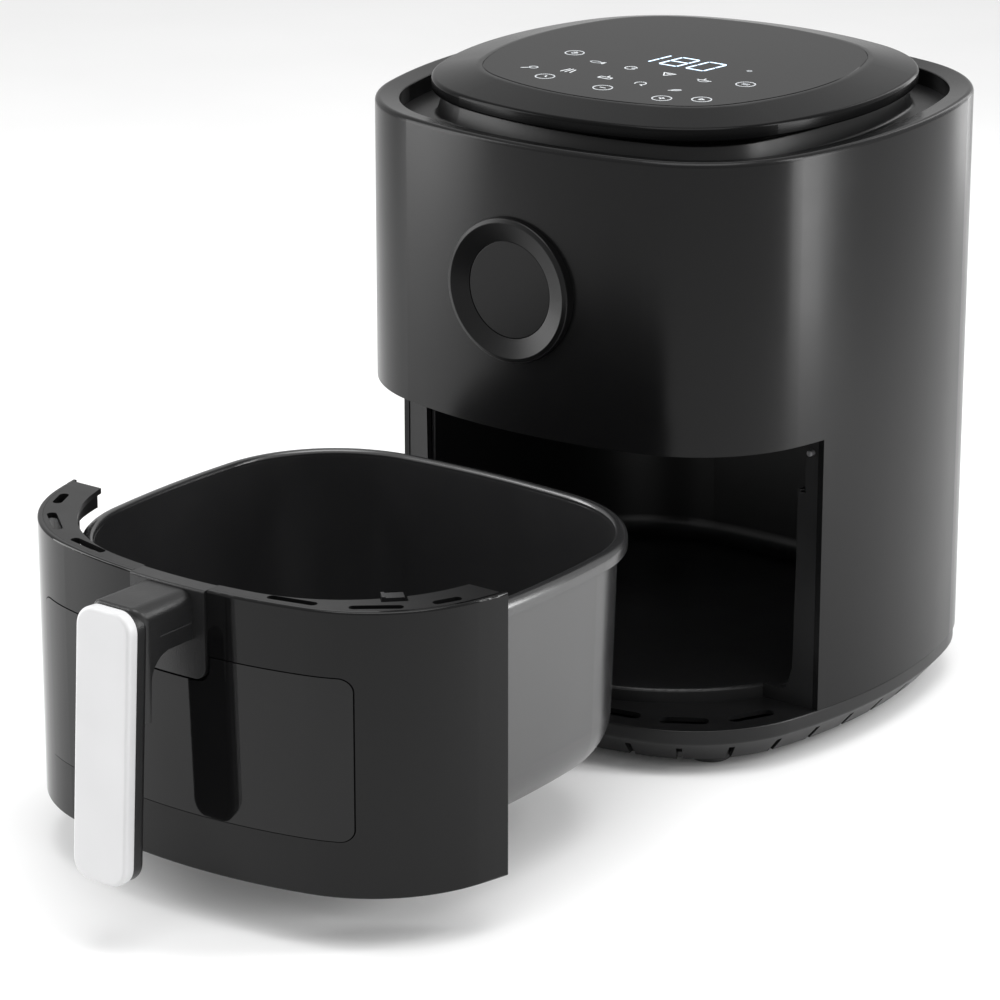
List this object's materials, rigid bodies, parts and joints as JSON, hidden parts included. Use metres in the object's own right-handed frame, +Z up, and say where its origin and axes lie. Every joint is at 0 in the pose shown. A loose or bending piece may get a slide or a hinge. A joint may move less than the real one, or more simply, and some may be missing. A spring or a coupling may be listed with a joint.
{
  "type": "air fryer",
  "caption": "Compact basket air fryer: rounded-square gloss black housing, touch control lid, open drawer bay, and a pull-out pan with a curved front and a pale grip handle.",
  "frame": {"origin": "middle of the whole object's footprint, drawer out, on the surface it stands on; the housing's own centre is 148.5 mm behind it", "axes": "+Z up, the front and the drawer towards -Y, +X to the right as seen from the front"},
  "size_m": [0.268, 0.5758, 0.3218],
  "materials": {
    "shell_gloss": "near-black gloss",
    "panel_gloss": "near-black gloss",
    "inlay_gloss": "near-black high gloss",
    "lid_gloss": "near-black satin gloss",
    "touch_glass": "polished black glass",
    "medallion_satin": "satin black",
    "matte_black": "fine satin texture",
    "liner_black": "satin moulded",
    "handle_black": "fine spark texture",
    "cover_silver": "pale satin",
    "pan_coat": "satin non-stick coating",
    "tray_coat": "satin non-stick coating",
    "steel": "plain sheet steel",
    "screw_steel": "zinc plated",
    "heater_steel": "heat-darkened tube",
    "fan_plastic": "moulded",
    "foot_rubber": "matte rubber",
    "silicone": "matte silicone",
    "board_green": "solder mask",
    "display_black": "smoked window",
    "motor_grey": "plated can"
  },
  "bodies": {
    "housing": {"outer_shell": "shell_gloss", "air_outlet_grille": "matte_black", "cord_gland": "matte_black", "base_ring": "matte_black", "base_plate": "liner_black", "base_screws": "screw_steel", "feet": "foot_rubber", "top_deck": "matte_black", "control_lid": "lid_gloss", "touch_glass": "touch_glass", "display_module": "display_black", "control_board": "board_green", "medallion_ring": "medallion_satin", "medallion_disc": "medallion_satin", "cavity_liner": "liner_black", "front_frame": "liner_black", "heat_reflector": "steel", "heater_element": "heater_steel", "heater_guard": "steel", "guard_posts": "steel", "fan_motor": "motor_grey", "motor_bracket": "steel", "bracket_screws": "screw_steel", "thermal_cutout": "display_black", "power_board": "board_green", "door_switch": "display_black"},
    "rotor": {"motor_shaft": "steel", "convection_fan": "steel", "cooling_fan": "fan_plastic"},
    "door_plunger": {"switch_plunger": "fan_plastic"},
    "drawer": {"drawer_front": "panel_gloss", "front_inlay": "inlay_gloss", "handle_mount": "handle_black", "drawer_frame": "matte_black", "frame_clip": "display_black", "handle_cover": "cover_silver", "handle_body": "handle_black", "handle_screws": "screw_steel", "pan": "pan_coat", "pan_bracket": "liner_black", "pan_screws": "screw_steel"},
    "tray": {"crisper_tray": "tray_coat", "tray_bumpers": "silicone"}
  },
  "joints": [
    {"name": "drawer_slide", "type": "slide", "parent": "housing", "child": "drawer", "axis": [0, 1, 0], "range_m": [0, 0.25]},
    {"name": "tray_lift", "type": "slide", "parent": "drawer", "child": "tray", "axis": [0, 0, 1], "range_m": [0, 0.11]},
    {"name": "fan_spin", "type": "hinge", "parent": "housing", "child": "rotor", "pos_m": [0, 0.1485, 0.21], "axis": [0, 0, 1], "continuous": true},
    {"name": "switch_press", "type": "slide", "parent": "housing", "child": "door_plunger", "axis": [0, 1, 0], "range_m": [0, 0.0025], "stiffness_N_per_m": 120}
  ]
}
